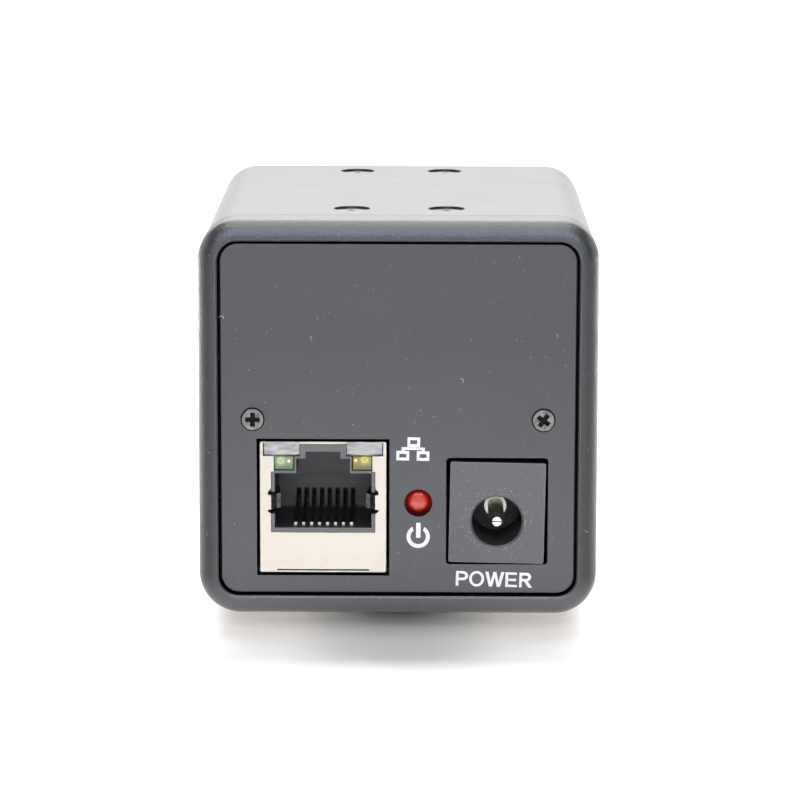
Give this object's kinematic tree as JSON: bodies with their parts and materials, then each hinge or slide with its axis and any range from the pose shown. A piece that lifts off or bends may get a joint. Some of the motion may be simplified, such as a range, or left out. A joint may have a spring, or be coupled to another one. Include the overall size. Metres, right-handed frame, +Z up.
{
  "type": "poe ip camera",
  "caption": "Small black box camera with a rear plate carrying a network jack, a power jack and a red indicator lamp, a focusing lens in front and a tripod thread in its base.",
  "frame": {"origin": "centre of the tripod thread at its mouth in the underside of the base block", "axes": "+Y along the lens axis towards the scene, so the rear plate faces -Y; +X to the right seen from the rear; +Z up"},
  "size_m": [0.0508, 0.0829, 0.0531],
  "materials": {
    "housing_black": "satin black coating, fine grain",
    "screw_nickel": "nickel plated steel",
    "screw_steel": "grey zinc plated steel",
    "shield_nickel": "nickel plated sheet",
    "jack_plastic": "dark grey moulding",
    "contact_gold": "gold plated bronze",
    "lamp_green": "clear green lens",
    "lamp_yellow": "clear yellow lens",
    "power_plastic": "satin black moulding",
    "plated_brass": "bright plated brass",
    "lamp_red": "diffused red resin",
    "thread_brass": "turned brass",
    "board_green": "solder resist on laminate",
    "chip_black": "moulding compound",
    "ferrite_grey": "ferrite and tape",
    "can_aluminium": "drawn aluminium can",
    "flex_amber": "polyimide film",
    "sensor_glass": "sensor under cover glass",
    "filter_black": "matt black moulding",
    "filter_glass": "coated filter glass",
    "mount_anodised": "black anodised turned ring",
    "lens_anodised": "black anodised",
    "lens_glass": "coated optical glass",
    "lock_nickel": "nickel plated thumb screw"
  },
  "bodies": {
    "housing": {"rear_frame": "housing_black", "housing_sleeve": "housing_black", "front_cover": "housing_black", "rear_plate": "housing_black", "tripod_block": "housing_black", "sleeve_screws": "screw_nickel", "tripod_block_screws": "screw_nickel", "io_board_screws": "screw_nickel", "sensor_board_screws": "screw_nickel", "lens_mount_screws": "screw_nickel", "rear_plate_screws": "screw_steel", "ethernet_shell": "shield_nickel", "ethernet_insert": "jack_plastic", "ethernet_contacts": "contact_gold", "link_led": "lamp_green", "activity_led": "lamp_yellow", "dc_jack_body": "power_plastic", "power_led_holder": "power_plastic", "dc_jack_pin": "plated_brass", "dc_jack_spring": "plated_brass", "power_led_leads": "plated_brass", "power_led": "lamp_red", "tripod_insert": "thread_brass", "io_board": "board_green", "sensor_board": "board_green", "processor": "chip_black", "flex_connectors": "chip_black", "poe_transformer": "ferrite_grey", "poe_capacitor": "can_aluminium", "flex_cable": "flex_amber", "image_sensor": "sensor_glass", "filter_holder": "filter_black", "ir_cut_filter": "filter_glass", "lens_mount": "mount_anodised", "lens_barrel": "lens_anodised"},
    "focus_ring": {"focus_ring": "lens_anodised"},
    "lens_cell": {"lens_cell": "lens_anodised", "aperture_disc": "lens_anodised", "front_element": "lens_glass", "front_element_ring": "lens_anodised", "rear_element": "lens_glass", "rear_element_ring": "lens_anodised"},
    "focus_lock_screw": {"focus_lock_screw": "lock_nickel"}
  },
  "joints": [
    {"name": "focus_turn", "type": "hinge", "parent": "housing", "child": "focus_ring", "pos_m": [0, 0.0322, 0.0277], "axis": [0, 1, 0], "range_deg": [-55, 55]},
    {"name": "cell_slide", "type": "slide", "parent": "housing", "child": "lens_cell", "axis": [0, 1, 0], "range_m": [-0.000306, 0.000306]},
    {"name": "lock_turn", "type": "hinge", "parent": "focus_ring", "child": "focus_lock_screw", "pos_m": [-0.0152, 0.0412, 0.0277], "axis": [1, 0, 0], "range_deg": [0, 90]}
  ],
  "couplings": [
    {"joint": "cell_slide", "follows": "focus_turn", "m_per_rad": 0.000318}
  ]
}
